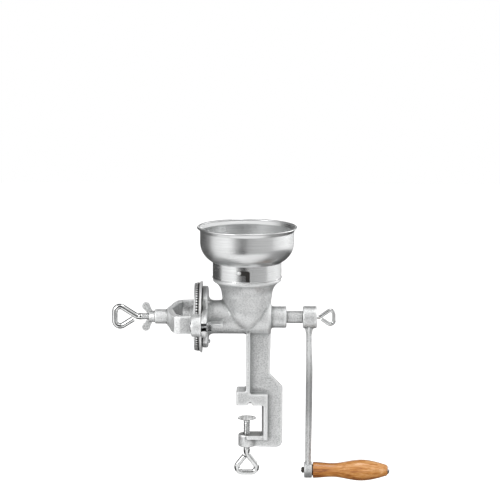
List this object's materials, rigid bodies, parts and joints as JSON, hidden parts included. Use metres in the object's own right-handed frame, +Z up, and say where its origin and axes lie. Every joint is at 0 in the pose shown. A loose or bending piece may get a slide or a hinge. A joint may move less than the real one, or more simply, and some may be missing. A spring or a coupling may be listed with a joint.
{
  "type": "hand grain mill",
  "caption": "Hand-cranked table-clamp grain mill with spun hopper, burr plates in a yoke, thumb-screw adjustment and turned wooden grip.",
  "frame": {"origin": "on the clamping face of the upper jaw, on the axis of the clamp screw and the neck", "axes": "+X along the auger axis towards the crank, +Y away from the viewer of the picture, +Z up"},
  "size_m": [0.3669, 0.152, 0.3408],
  "materials": {
    "tinned_casting": "tinned sand casting, matt light grey",
    "tinned_yoke": "tinned sand casting, matt light grey",
    "burr_iron": "hard cast iron, ground face, grey",
    "carrier_iron": "turned cast iron, satin",
    "auger_iron": "rough cast iron, grey",
    "fastener_steel": "zinc-plated steel",
    "ball_steel": "polished bearing steel",
    "dark_steel": "blackened steel",
    "plated_wire": "bright nickel-plated rod",
    "wing_casting": "tinned malleable casting",
    "crank_iron": "tinned forging, satin",
    "grip_wood": "turned beech, clear orange lacquer",
    "bowl_steel": "spun stainless steel, satin bright",
    "collar_steel": "bright stainless sheet",
    "pad_steel": "pressed steel, satin"
  },
  "bodies": {
    "housing": {"body_casting": "tinned_casting", "stationary_burr": "burr_iron", "stationary_burr_screws": "fastener_steel", "yoke": "tinned_yoke", "yoke_bolts": "fastener_steel", "yoke_washers": "fastener_steel", "yoke_nuts": "dark_steel"},
    "rotor": {"auger": "auger_iron", "drive_pin": "fastener_steel", "crank_arm": "crank_iron", "grip_spindle": "fastener_steel", "spindle_nut": "dark_steel", "spindle_washer": "fastener_steel"},
    "crank_thumb_screw": {"crank_screw": "plated_wire"},
    "grip": {"wood_grip": "grip_wood"},
    "thrust": {"thrust_ball": "ball_steel"},
    "burr_disc": {"burr_carrier": "carrier_iron", "rotating_burr": "burr_iron", "rotating_burr_screws": "fastener_steel"},
    "adjuster": {"adjusting_screw": "plated_wire"},
    "lock_nut": {"lock_wing_nut": "wing_casting"},
    "hopper": {"hopper_bowl": "bowl_steel", "hopper_collar": "collar_steel"},
    "pad": {"clamp_pad": "pad_steel"},
    "clamp_rod": {"clamp_screw": "plated_wire"}
  },
  "joints": [
    {"name": "crank_turn", "type": "hinge", "parent": "housing", "child": "rotor", "pos_m": [0, 0, 0.116], "axis": [1, 0, 0], "continuous": true},
    {"name": "burr_feed", "type": "slide", "parent": "housing", "child": "thrust", "axis": [1, 0, 0], "range_m": [-0.004, 0.0004]},
    {"name": "burr_turn", "type": "hinge", "parent": "thrust", "child": "burr_disc", "pos_m": [-0.075, 0, 0.116], "axis": [1, 0, 0], "continuous": true},
    {"name": "adjust_turn", "type": "hinge", "parent": "thrust", "child": "adjuster", "pos_m": [-0.12, 0, 0.116], "axis": [1, 0, 0], "range_deg": [-1152.01, 115.21]},
    {"name": "lock_nut_turn", "type": "hinge", "parent": "housing", "child": "lock_nut", "pos_m": [-0.1255, 0, 0.116], "axis": [1, 0, 0], "range_deg": [-180, 0]},
    {"name": "crank_screw_turn", "type": "hinge", "parent": "rotor", "child": "crank_thumb_screw", "pos_m": [0.09, 0, 0.116], "axis": [1, 0, 0], "range_deg": [0, 180]},
    {"name": "grip_spin", "type": "hinge", "parent": "rotor", "child": "grip", "pos_m": [0.137, 0, -0.0905], "axis": [1, 0, 0], "continuous": true},
    {"name": "hopper_twist", "type": "hinge", "parent": "housing", "child": "hopper", "pos_m": [0, 0, 0.176], "axis": [0, 0, 1], "range_deg": [-15, 0]},
    {"name": "clamp_feed", "type": "slide", "parent": "housing", "child": "pad", "axis": [0, 0, 1], "range_m": [-0.018, 0.007]},
    {"name": "clamp_turn", "type": "hinge", "parent": "pad", "child": "clamp_rod", "pos_m": [0, 0, -0.05], "axis": [0, 0, 1], "range_deg": [-5184.01, 2016.01]}
  ],
  "couplings": [
    {"joint": "burr_turn", "follows": "crank_turn", "ratio": 1},
    {"joint": "adjust_turn", "follows": "burr_feed", "rad_per_m": 5026.5},
    {"joint": "clamp_turn", "follows": "clamp_feed", "rad_per_m": 5026.5}
  ]
}
